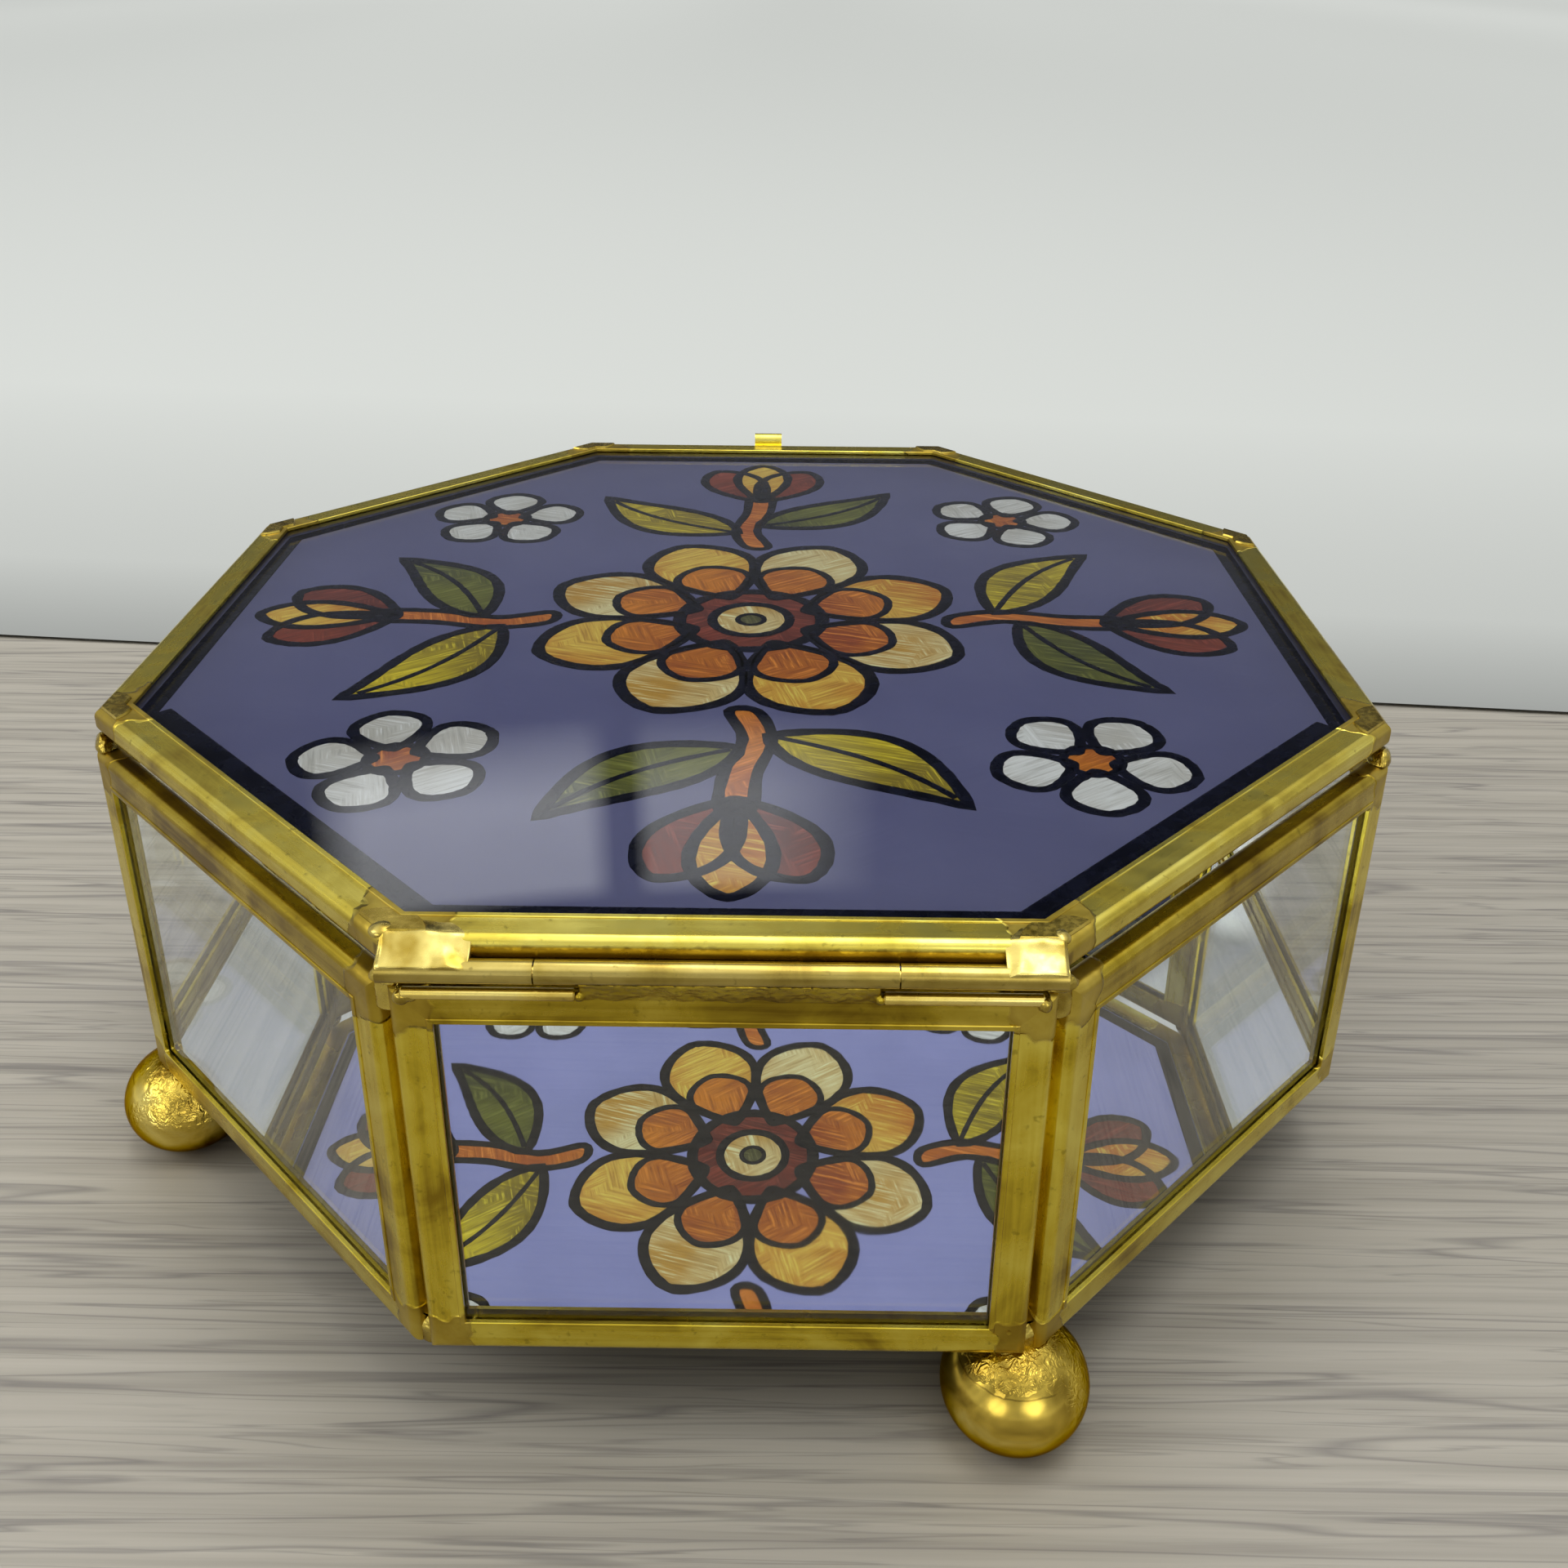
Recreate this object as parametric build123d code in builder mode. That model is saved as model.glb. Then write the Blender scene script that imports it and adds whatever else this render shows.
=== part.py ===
from build123d import *
from math import cos, radians, sin, tan
import os

# An octagonal trinket box of glass panes held in brass came, with a mirror for its floor,
# a glazed lid on a three-knuckle tube hinge and four ball feet.
# Sizes are in millimetres. The box stands on z = 0 about the Z axis, with the hinge on its -Y side.

# Overall sizes
sides = 8
body_across = 152.0
wall_height = 45.5
lid_inset = 1.0
lid_gap = 1.8

# Glass and mirror
glass_thickness = 2.0
glass_clearance = 0.15
mirror_thickness = 2.0
mirror_edge_gap = 0.2

# Came, a U channel bent from brass sheet, with a fine hem along each lip
sheet = 0.35
channel_face = 4.0
bend_radius = 1.0
hem_width = 0.6
hem_rise = 0.12
hem_bevel = 0.08
corner_seam = 0.02
mitre_spare = 1.0

# Hinge: three tubes on one wire pin, and two rest wires on the rim beside the middle tube
tube_radius = 1.15
pin_radius = 0.6
running_clearance = 0.05
tube_gap = 0.15
axis_below_lid_top = 2.6
hinge_inset = 0.1
middle_tube_length = 32.6
middle_tube_shift = -0.45
knuckle_gap = 0.15
pin_inset = 0.3
lid_web_length = 8.0
rim_web_length = 27.2
rim_web_shift = 0.65
rest_wire_radius = 0.6
rest_wire_gap = 0.3
rest_wire_seat = 0.02
rest_wire_rise = 30.0

# Lift tab, a strip curled outward at its top
tab_width = 4.7
tab_shift = 0.55
tab_thickness = 0.5
tab_seat = 0.02
tab_foot = 0.4
tab_reach = 0.45
tab_curl_radius = 0.9
tab_curl = 115.0

# Ball feet, a little flatter than round, with flats where they are soldered on and where they stand
foot_across = 15.8
foot_height = 13.8
foot_seat_sink = 0.3
foot_ground_sink = 0.15

# Solder, which follows the brass with a hair's gap
solder_gap = 0.03
rim_bead_radius = 2.2
rim_bead_offset = 1.2
rest_gap = 0.1
hinge_bead_radius = 1.9
hinge_bead_sink = 0.6
groove_radius = 1.35
groove_offset = 1.3
rim_groove_depth = 3.0
base_groove_height = 4.0
base_groove_slope = 35.0
collar_radius = 3.4
collar_depth = 0.8
tack_radius = 2.4
tack_depth = 0.7
patch_taper = 30.0
lid_patch_inset = 0.8
lid_patch_margin = 0.1
lid_patch_reach = 4.5
lid_patch_depth = 0.25

# Sizes and heights that follow
side_turn = 360 / sides
half_turn = side_turn / 2
hinge_heading = -90.0
channel_width = glass_thickness + 2 * glass_clearance + 2 * sheet
slot_width = channel_width - 2 * sheet
body_apothem = body_across / 2
lid_apothem = body_apothem - lid_inset
wall_bottom = foot_height - foot_seat_sink - foot_ground_sink
rim_top = wall_bottom + wall_height
lid_bottom = rim_top + lid_gap
lid_top = lid_bottom + channel_width
channel_centre = body_apothem - channel_width / 2
lid_side = 2 * lid_apothem * tan(radians(half_turn))
up = Vector(0, 0, 1)

# Neighbouring frames touch at their rounded inner edges, and a V groove opens outward
inner_bend = body_apothem - channel_width + bend_radius
bend_reach = bend_radius + corner_seam / 2
frame_half_width = (inner_bend * sin(radians(half_turn)) - bend_reach) / cos(radians(half_turn)) + bend_radius
corner_touch = (frame_half_width - bend_radius) * sin(radians(half_turn)) + inner_bend * cos(radians(half_turn))
inner_corner = (body_apothem - channel_width) / cos(radians(half_turn))

# Hinge line, clear of the lid's rail
hinge_y = -(lid_apothem + tube_gap + tube_radius)
hinge_z = lid_top - axis_below_lid_top
hinge_length = lid_side - 2 * hinge_inset


def outward(side):
    """Unit vector that a side faces along; side 0 carries the hinge."""
    return Vector(1, 0, 0).rotate(Axis.Z, hinge_heading + side * side_turn)


def along(side):
    """Unit vector along a side, to the right as seen from outside."""
    return outward(side).rotate(Axis.Z, 90)


def corner_point(corner, radius, height):
    """Point on the bisector between one side and the next."""
    return outward(corner).rotate(Axis.Z, half_turn) * radius + up * height


def save(part, label):
    """Labels a finished piece and writes its file."""
    part.label = label
    export_step(part, f"parts/{label}.step")


def came(origin, inward, run, length, mitres):
    """A length of came about an origin on its web, cut off by planes that face away from it."""
    with BuildPart() as piece:
        with BuildSketch(Plane(origin=origin, x_dir=inward, z_dir=run)) as section:
            with Locations((channel_face / 2, 0)):
                Rectangle(channel_face, channel_width)
            fillet(section.vertices().group_by(Axis.X)[0], bend_radius)
            with Locations((channel_face - hem_width / 2, 0)):
                Rectangle(hem_width, channel_width + 2 * hem_rise)
            hem_corners = section.vertices().group_by(Axis.Y)[0] + section.vertices().group_by(Axis.Y)[-1]
            chamfer(hem_corners, hem_bevel)
            with Locations((sheet + channel_face, 0)):
                RectangleRounded(2 * channel_face, slot_width, bend_radius - sheet, mode=Mode.SUBTRACT)
        extrude(amount=length / 2 + mitre_spare, both=True)
        for mitre in mitres:
            split(bisect_by=mitre, keep=Keep.BOTTOM)
    return piece.part


def frame_mitre(side, end, level):
    """Mitre plane of a pane's frame at one corner, facing away from the rail and towards the stile."""
    height = rim_top if level > 0 else wall_bottom
    corner = outward(side) * channel_centre + along(side) * (end * frame_half_width) + up * height
    return Plane(origin=corner, z_dir=along(side) * end - up * level)


def wall_rail(side, level):
    """Top rail (level 1) or bottom rail (level -1) of a pane's frame."""
    height = rim_top if level > 0 else wall_bottom
    origin = outward(side) * channel_centre + up * height
    mitres = [frame_mitre(side, end, level) for end in (-1, 1)]
    return came(origin, up * -level, along(side), 2 * frame_half_width, mitres)


def wall_stile(side, end):
    """Upright of a pane's frame at its left (end -1) or right (end 1)."""
    middle = (wall_bottom + rim_top) / 2
    origin = outward(side) * channel_centre + along(side) * (end * frame_half_width) + up * middle
    mitres = [-frame_mitre(side, end, level) for level in (-1, 1)]
    return came(origin, along(side) * -end, up, wall_height, mitres)


def lid_rail(side):
    """One side of the lid's frame, mitred to its neighbours."""
    origin = outward(side) * lid_apothem + up * (lid_bottom + channel_width / 2)
    mitres = [Plane(origin=(0, 0, 0), z_dir=along(side).rotate(Axis.Z, end * half_turn) * end) for end in (-1, 1)]
    return came(origin, outward(side) * -1, along(side), lid_side, mitres)


def groove_fill(bottom, height):
    """Solder column in the V groove at corner 0, between the outlines of the two frames."""
    centre = corner_point(0, corner_touch + groove_offset, 0)
    with BuildPart() as column:
        with BuildSketch(Plane.XY.offset(bottom)):
            with Locations((centre.X, centre.Y)):
                Circle(groove_radius)
            for side in (0, 1):
                frame_centre = outward(side) * channel_centre
                with Locations(Location((frame_centre.X, frame_centre.Y), side * side_turn)):
                    frame_length = 2 * (frame_half_width + solder_gap)
                    frame_width = channel_width + 2 * solder_gap
                    RectangleRounded(frame_length, frame_width, bend_radius + solder_gap, mode=Mode.SUBTRACT)
        extrude(amount=height)
    return column.part


def cap(radius, ball_radius, top, base):
    """Rounded top of a solder bead at corner 0: the part of a ball that stands above a height."""
    with BuildPart() as dome:
        with Locations(corner_point(0, radius, top - ball_radius)):
            Sphere(ball_radius)
        split(bisect_by=Plane.XY.offset(base), keep=Keep.TOP)
    return dome.part


def rim_bead(ball_radius, top):
    """Bead on the rim at corner 0, with its root in the groove."""
    base = rim_top + solder_gap
    root = groove_fill(base - rim_groove_depth, rim_groove_depth)
    dome = cap(corner_touch + rim_bead_offset, ball_radius, top, base)
    with BuildPart() as bead:
        add(root)
        add(dome)
    return bead.part


def base_bead(patch_radius, patch_depth):
    """Bead low in the groove at corner 0, sloped off at its top, over a patch under the corner."""
    base = wall_bottom - solder_gap
    root = groove_fill(base, base_groove_height)
    slope_point = corner_point(0, corner_touch + groove_offset, base + base_groove_height - groove_radius)
    slope_normal = corner_point(0, sin(radians(base_groove_slope)), cos(radians(base_groove_slope)))
    with BuildPart() as bead:
        add(root)
        split(bisect_by=Plane(origin=slope_point, z_dir=slope_normal), keep=Keep.BOTTOM)
        with BuildSketch(Plane(corner_point(0, inner_corner, base))):
            Circle(patch_radius)
        extrude(amount=-patch_depth, taper=patch_taper)
    return bead.part


def lid_patch():
    """Patch of solder on the lid's mitre at corner 0, between the outer bend and the hem."""
    outer = lid_apothem - lid_patch_inset
    inner = lid_apothem - channel_face + hem_width + lid_patch_margin
    with BuildPart() as patch:
        with BuildSketch(Plane.XY.offset(lid_top + solder_gap)):
            RegularPolygon(outer, sides, major_radius=False, rotation=hinge_heading + half_turn)
            RegularPolygon(inner, sides, major_radius=False, rotation=hinge_heading + half_turn, mode=Mode.SUBTRACT)
            centre = corner_point(0, lid_apothem / cos(radians(half_turn)), 0)
            with Locations((centre.X, centre.Y)):
                Circle(lid_patch_reach, mode=Mode.INTERSECT)
        extrude(amount=lid_patch_depth, taper=patch_taper)
    return patch.part


def carried_to(corners):
    """Turns about the upright axis that carry a piece from corner 0 to the corners listed."""
    return Locations(*[Location((0, 0, 0), (0, 0, corner * side_turn)) for corner in corners])


def octagon_plate(across, bottom, thickness):
    """Plate with the box's outline."""
    with BuildPart() as plate:
        with BuildSketch(Plane.XY.offset(bottom)):
            RegularPolygon(across / 2, sides, major_radius=False, rotation=hinge_heading + half_turn)
        extrude(amount=thickness)
    return plate.part


def tube(start, length):
    """Tube on the hinge line."""
    with BuildPart() as piece:
        with BuildSketch(Plane(origin=(start, hinge_y, hinge_z), x_dir=(0, 1, 0), z_dir=(1, 0, 0))):
            Circle(tube_radius)
            Circle(pin_radius + running_clearance, mode=Mode.SUBTRACT)
        extrude(amount=length)
    return piece.part


def rod(start, length, radius, y, z):
    """Round wire parallel to the hinge, with its ends broken."""
    with BuildPart() as piece:
        with BuildSketch(Plane(origin=(start, y, z), x_dir=(0, 1, 0), z_dir=(1, 0, 0))):
            Circle(radius)
        extrude(amount=length)
        chamfer(piece.edges().filter_by(GeomType.CIRCLE), radius / 4)
    return piece.part


def hinge_web(start, length, came_y, came_z, came_width, came_height):
    """Solder that joins a tube to the upper outer edge of a came whose section is centred at (y, z)."""
    bend_y = came_y - came_width / 2 + bend_radius
    bend_z = came_z + came_height / 2 - bend_radius
    with BuildPart() as web:
        with BuildSketch(Plane(origin=(start, 0, 0), x_dir=(0, 1, 0), z_dir=(1, 0, 0))):
            with BuildLine():
                CenterArc((hinge_y, hinge_z), tube_radius, 0, 360)
                CenterArc((bend_y, bend_z), bend_radius, 0, 360)
            make_hull()
            with Locations((hinge_y, hinge_z)):
                Circle(tube_radius + solder_gap, mode=Mode.SUBTRACT)
            with Locations((came_y, came_z)):
                room = (came_width + 2 * solder_gap, came_height + 2 * solder_gap)
                RectangleRounded(*room, bend_radius + solder_gap, mode=Mode.SUBTRACT)
        extrude(amount=length)
    return web.part


def ball_foot(corner, gap=0):
    """Flattened ball under a corner of the walls, with a flat seat above and a flat to stand on."""
    centre = corner_point(corner, inner_corner, foot_height / 2 - foot_ground_sink)
    with BuildPart() as ball:
        with BuildSketch(Plane(origin=centre, x_dir=(1, 0, 0), z_dir=(0, -1, 0))):
            Ellipse(foot_across / 2 + gap, foot_height / 2 + gap)
            split(bisect_by=Plane.YZ, keep=Keep.TOP)
        revolve(axis=Axis(centre, (0, 0, 1)))
        split(bisect_by=Plane.XY.offset(wall_bottom + gap), keep=Keep.BOTTOM)
        split(bisect_by=Plane.XY, keep=Keep.TOP)
    return ball.part


os.makedirs("parts", exist_ok=True)
foot_corners = range(0, sides, 2)
tack_corners = range(1, sides, 2)
hinge_corners = (0, sides - 1)
free_corners = range(1, sides - 1)

# Walls: eight panes, each in a mitred frame of four lengths of came; the glass stops where the bends begin
pane_width = 2 * (frame_half_width - bend_radius)
pane_height = wall_height - 2 * bend_radius
top_rails = [wall_rail(side, 1) for side in range(sides)]
bottom_rails = [wall_rail(side, -1) for side in range(sides)]
for side in range(sides):
    pane_centre = outward(side) * channel_centre + up * (wall_bottom + wall_height / 2)
    with BuildPart() as side_glass:
        with BuildSketch(Plane(origin=pane_centre, x_dir=along(side), z_dir=outward(side))):
            Rectangle(pane_width, pane_height)
        extrude(amount=glass_thickness / 2, both=True)
    save(side_glass.part, f"side_glass_{side + 1}")
    save(top_rails[side], f"top_rail_{side + 1}")
    save(bottom_rails[side], f"bottom_rail_{side + 1}")

    # The two uprights that meet at one corner share a node
    right_stile = wall_stile(side, 1)
    next_left_stile = wall_stile((side + 1) % sides, -1)
    with BuildPart() as corner_stiles:
        add(right_stile)
        add(next_left_stile)
    save(corner_stiles.part, f"corner_stiles_{side + 1}")

# Floor: a mirror plate between the feet of the walls
mirror_across = body_across - 2 * (channel_width + mirror_edge_gap)
base_mirror = octagon_plate(mirror_across, wall_bottom, mirror_thickness)
save(base_mirror, "base_mirror")

# Lid: one octagonal pane in a mitred frame
lid_glass_bottom = lid_bottom + sheet + glass_clearance
lid_glass = octagon_plate(2 * (lid_apothem - bend_radius), lid_glass_bottom, glass_thickness)
save(lid_glass, "lid_glass")
lid_rails = [lid_rail(side) for side in range(sides)]
for side in range(sides):
    save(lid_rails[side], f"lid_rail_{side + 1}")

# Hinge: the outer tubes turn with the lid, and the middle tube is soldered to the rim
middle_start = middle_tube_shift - middle_tube_length / 2
middle_end = middle_start + middle_tube_length
left_start = -hinge_length / 2
right_start = middle_end + knuckle_gap
left_length = middle_start - knuckle_gap - left_start
right_length = hinge_length / 2 - right_start
save(tube(left_start, left_length), "left_knuckle")
save(tube(middle_start, middle_tube_length), "middle_knuckle")
save(tube(right_start, right_length), "right_knuckle")
pin_length = hinge_length - 2 * pin_inset
save(rod(-pin_length / 2, pin_length, pin_radius, hinge_y, hinge_z), "hinge_pin")

# Rest wires along the rim's outer edge, from the middle tube's solder to the corner beads
wire_reach = bend_radius + rest_wire_radius + rest_wire_seat
wire_y = -(body_apothem - bend_radius) - wire_reach * cos(radians(rest_wire_rise))
wire_z = rim_top - bend_radius + wire_reach * sin(radians(rest_wire_rise))
rim_web_start = rim_web_shift - rim_web_length / 2
rim_web_end = rim_web_start + rim_web_length
wire_end = corner_point(0, corner_touch + rim_bead_offset, 0).X - hinge_bead_radius
left_wire_length = wire_end + rim_web_start - rest_wire_gap
right_wire_length = wire_end - rim_web_end - rest_wire_gap
right_wire_start = rim_web_end + rest_wire_gap
save(rod(-wire_end, left_wire_length, rest_wire_radius, wire_y, wire_z), "left_rest_wire")
save(rod(right_wire_start, right_wire_length, rest_wire_radius, wire_y, wire_z), "right_rest_wire")

# Lift tab on the side opposite the hinge
tab_y = lid_apothem + tab_seat + tab_thickness / 2
with BuildPart() as lift_tab:
    with BuildSketch(Plane(origin=(tab_shift, 0, 0), x_dir=(0, 1, 0), z_dir=(1, 0, 0))):
        with BuildLine():
            shank = Line((tab_y, lid_bottom + tab_foot), (tab_y, lid_top + tab_reach))
            JernArc(shank @ 1, (0, 1), tab_curl_radius, -tab_curl)
        trace(line_width=tab_thickness)
    extrude(amount=tab_width / 2, both=True)
save(lift_tab.part, "lift_tab")

# Ball feet under every other corner
for number, corner in enumerate(foot_corners, start=1):
    save(ball_foot(corner), f"ball_foot_{number}")

# Rim solder: a bead at each corner, on which the closed lid rests, and the middle tube's web.
# The two beads beside the hinge lie lower, clear of the tubes
free_bead = rim_bead(rim_bead_radius, lid_bottom - rest_gap)
hinge_bead = rim_bead(hinge_bead_radius, rim_top - hinge_bead_sink + hinge_bead_radius)
rim_came_z = rim_top - channel_face / 2
rim_web = hinge_web(rim_web_start, rim_web_length, -channel_centre, rim_came_z, channel_width, channel_face)
with BuildPart() as rim_solder:
    add(rim_web)
    with carried_to(free_corners):
        add(free_bead)
    with carried_to(hinge_corners):
        add(hinge_bead)
save(rim_solder.part, "rim_solder")

# Lid solder: a web from each outer tube to the rail, and a thin patch over each mitre
lid_came_y = -(lid_apothem - channel_face / 2)
lid_came_z = lid_bottom + channel_width / 2
lid_came = (lid_came_y, lid_came_z, channel_face, channel_width)
left_web = hinge_web(left_start, lid_web_length, *lid_came)
right_web = hinge_web(hinge_length / 2 - lid_web_length, lid_web_length, *lid_came)
with BuildPart() as lid_hinge_solder:
    add(left_web)
    add(right_web)
save(lid_hinge_solder.part, "lid_hinge_solder")
mitre_patch = lid_patch()
with BuildPart() as lid_solder:
    with carried_to(range(sides)):
        add(mitre_patch)
save(lid_solder.part, "lid_solder")

# Base solder: a bead low in each groove, with a collar round the top of each foot or, between
# the feet, a tack under the corner that laps the mirror
foot_bead = base_bead(collar_radius, collar_depth)
tack_bead = base_bead(tack_radius, tack_depth)
foot_block = ball_foot(0, solder_gap)
with BuildPart() as fitted_foot_bead:
    add(foot_bead)
    add(foot_block, mode=Mode.SUBTRACT)
with BuildPart() as base_solder:
    with carried_to(foot_corners):
        add(fitted_foot_bead.part)
    with carried_to(tack_corners):
        add(tack_bead)
save(base_solder.part, "base_solder")
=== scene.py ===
# %% [markdown]
# # A glass trinket box, dressed in Blender
# The box is an octagon of clear panes held in brass came, on four ball feet, with a mirror for its
# floor and a glazed lid that is painted beneath. Its metal and glass come from the CAD model, where
# every piece already sits in its place, so this lesson adds what a drawing board can't give: the
# finish of aged brass, the lumpy solder, the clear glass and the paint.

# %% Load the box as it was drawn
import math
import random

import bmesh
import bpy
from mathutils import Matrix, Vector, noise
from mathutils.geometry import delaunay_2d_cdt


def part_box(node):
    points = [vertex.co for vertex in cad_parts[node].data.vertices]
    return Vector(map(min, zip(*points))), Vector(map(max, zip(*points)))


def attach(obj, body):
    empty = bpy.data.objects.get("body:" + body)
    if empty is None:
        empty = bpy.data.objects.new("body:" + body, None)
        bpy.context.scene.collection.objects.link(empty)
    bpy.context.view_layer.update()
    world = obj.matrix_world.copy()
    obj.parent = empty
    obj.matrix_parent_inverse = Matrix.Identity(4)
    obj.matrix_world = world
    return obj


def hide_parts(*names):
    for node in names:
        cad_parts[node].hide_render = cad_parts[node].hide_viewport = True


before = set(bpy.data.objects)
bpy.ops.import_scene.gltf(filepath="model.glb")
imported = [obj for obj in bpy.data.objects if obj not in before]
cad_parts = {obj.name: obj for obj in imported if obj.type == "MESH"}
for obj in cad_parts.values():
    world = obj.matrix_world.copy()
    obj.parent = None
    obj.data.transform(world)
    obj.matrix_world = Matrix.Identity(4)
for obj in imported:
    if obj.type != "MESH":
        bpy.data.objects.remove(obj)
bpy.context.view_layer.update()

mm = 0.001


def new_object(name, data):
    """An object that holds the data and stands in the scene."""
    made = bpy.data.objects.new(name, data)
    bpy.context.scene.collection.objects.link(made)
    return made


# %% [markdown]
# ## Where the camera stands
# A photograph fixes its camera if enough corners of a known shape can be matched in it. Here the
# octagons of the lid and the body were matched. The camera looks down at the hinge side from a
# hand's breadth away, so the near edge spreads wide. It is placed by three unit vectors,
# right, up and back, because they can be written down without any guess at an order of turns.

# %% Camera
picture_side = 1920
sensor_side = 36
focal_pixels = 1890
centre_column, centre_row = 973, 799
camera_place = Vector((6.7, -189.6, 145.15)) * mm
turn_left, tilt_down, lean = math.radians(-0.24), math.radians(24.79), math.radians(0.54)

ahead = Vector((
    math.sin(turn_left) * math.cos(tilt_down),
    math.cos(turn_left) * math.cos(tilt_down),
    -math.sin(tilt_down),
))
level_right = Vector((math.cos(turn_left), -math.sin(turn_left), 0))
level_up = level_right.cross(ahead)
camera_right = math.cos(lean) * level_right + math.sin(lean) * level_up
camera_up = -math.sin(lean) * level_right + math.cos(lean) * level_up

lens = bpy.data.cameras.new("camera")
lens.sensor_width = sensor_side
lens.lens = sensor_side * focal_pixels / picture_side
lens.shift_x = (picture_side / 2 - centre_column) / picture_side
lens.shift_y = (centre_row - picture_side / 2) / picture_side
lens.clip_start, lens.clip_end = 0.005, 80
camera = new_object("camera", lens)
camera_turn = Matrix((camera_right, camera_up, -ahead)).transposed().to_4x4()
camera.matrix_world = Matrix.Translation(camera_place) @ camera_turn
bpy.context.scene.camera = camera
bpy.context.scene.view_settings.view_transform = "Standard"
print("lens", round(lens.lens, 2), "mm, shift", round(lens.shift_x, 4), round(lens.shift_y, 4))

# %% [markdown]
# ## Small helpers for finishes
# Every finish below is a short chain: a pattern, a ramp that turns it into colours, and the
# shader. Writing each link as one small function keeps a finish readable from top to bottom.
# The patterns read Object coordinates. All pieces sit at the origin, so a pattern runs on from
# one piece to the next and stays put when the lid opens.

# %% Helpers for shader trees
def new_finish(name):
    """A material with nothing in it but its output, and the tree to build it in."""
    finish = bpy.data.materials.new(name)
    finish.use_nodes = True
    tree = finish.node_tree
    tree.nodes.clear()
    tree.nodes.new("ShaderNodeOutputMaterial")
    return finish, tree


def node(tree, kind, inputs=(), **settings):
    """A node with its settings made and its inputs linked or set."""
    made = tree.nodes.new(kind if "Node" in kind else "ShaderNode" + kind)
    for name, value in settings.items():
        setattr(made, name, value)
    for name, value in dict(inputs).items():
        if isinstance(value, bpy.types.NodeSocket):
            tree.links.new(value, made.inputs[name])
        else:
            made.inputs[name].default_value = value
    return made


def place(tree):
    """Object coordinates, in metres."""
    return node(tree, "TexCoord").outputs["Object"]


def place_parts(tree):
    """The X, Y and Z of the Object coordinates."""
    return node(tree, "SeparateXYZ", {"Vector": place(tree)}).outputs


def stretched(tree, scale, turn=(0, 0, 0), where=None):
    """Object coordinates, or the ones given, turned and then stretched."""
    where = place(tree) if where is None else where
    return node(tree, "Mapping", {"Vector": where, "Scale": scale, "Rotation": turn}).outputs[0]


def cloud(tree, where, scale, detail=3.0, roughness=0.55, distortion=0.0):
    """Soft noise from 0 to 1."""
    inputs = {"Vector": where, "Scale": scale, "Detail": detail}
    inputs |= {"Roughness": roughness, "Distortion": distortion}
    return node(tree, "TexNoise", inputs).outputs["Fac"]


def ramp(tree, value, stops):
    """A colour ramp from (position, colour) stops."""
    made = node(tree, "ValToRGB", {"Fac": value})
    band = made.color_ramp
    while len(band.elements) < len(stops):
        band.elements.new(0.5)
    for element, (position, colour) in zip(band.elements, stops):
        element.position = position
        element.color = (*colour, 1)
    return made.outputs["Color"]


def span(tree, value, low, high, to_low=0.0, to_high=1.0):
    """Maps a value from one range to another and holds it there."""
    inputs = {"Value": value, "From Min": low, "From Max": high, "To Min": to_low, "To Max": to_high}
    return node(tree, "MapRange", inputs).outputs[0]


def sum_of(tree, operation, *values):
    """One sum on the values."""
    return node(tree, "Math", enumerate(values), operation=operation).outputs[0]


def added(tree, first, second):
    """Two values added."""
    return sum_of(tree, "ADD", first, second)


def times(tree, first, second):
    """Two values multiplied."""
    return sum_of(tree, "MULTIPLY", first, second)


def between(tree, value, rise, fall, most=1.0):
    """Rises from 0 over one range of a value and falls back to 0 over another."""
    return times(tree, span(tree, value, *rise), span(tree, value, *fall, most, 0.0))


def blended(tree, amount, first, second):
    """One colour laid over another by an amount."""
    made = node(tree, "Mix", data_type="RGBA")
    for socket, value in ((made.inputs[0], amount), (made.inputs[6], first), (made.inputs[7], second)):
        if isinstance(value, bpy.types.NodeSocket):
            tree.links.new(value, socket)
        else:
            socket.default_value = (*value, 1) if isinstance(value, tuple) else value
    return made.outputs[2]


def bumped(tree, height, depth, below=None):
    """A bump of a depth in metres, over an earlier bump if there is one."""
    inputs = {"Height": height, "Distance": depth, "Strength": 1.0}
    if below is not None:
        inputs["Normal"] = below
    return node(tree, "Bump", inputs).outputs[0]


def finish_with(tree, kind, inputs):
    """Makes the last shader and feeds it to the material's output."""
    output = next(n for n in tree.nodes if n.type == "OUTPUT_MATERIAL")
    tree.links.new(node(tree, kind, inputs).outputs[0], output.inputs["Surface"])


def srgb(red, green, blue):
    """A colour read off a screen, from 0 to 255, as the light it stands for."""
    shares = (red / 255, green / 255, blue / 255)
    return tuple(((c + 0.055) / 1.055) ** 2.4 if c > 10 / 255 else c / 12.92 for c in shares)


print("helpers ready")

# %% [markdown]
# ## Floor, backdrop and light
# The box stands on a pale board with a sheet of white cloth behind it, under a broad soft light
# from above. Polished metal has no look of its own: it shows what stands round it. So the sky
# here is a room, bright overhead and low down, with dim walls between, and that gives the came its
# dark and bright sides. Its windows and pale walls show only in metal and in glass, so they add
# reflections and leave the board's light as it is. The lamps stay at a plain level, so a colour
# comes out about as it is written.

# %% Floor and backdrop
def flat_sheet(name, corners, finish):
    """A flat four-sided sheet that belongs to the studio."""
    mesh = bpy.data.meshes.new(name)
    mesh.from_pydata(corners, [], [tuple(range(len(corners)))])
    mesh.materials.append(finish)
    new_object(name, mesh)


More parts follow.
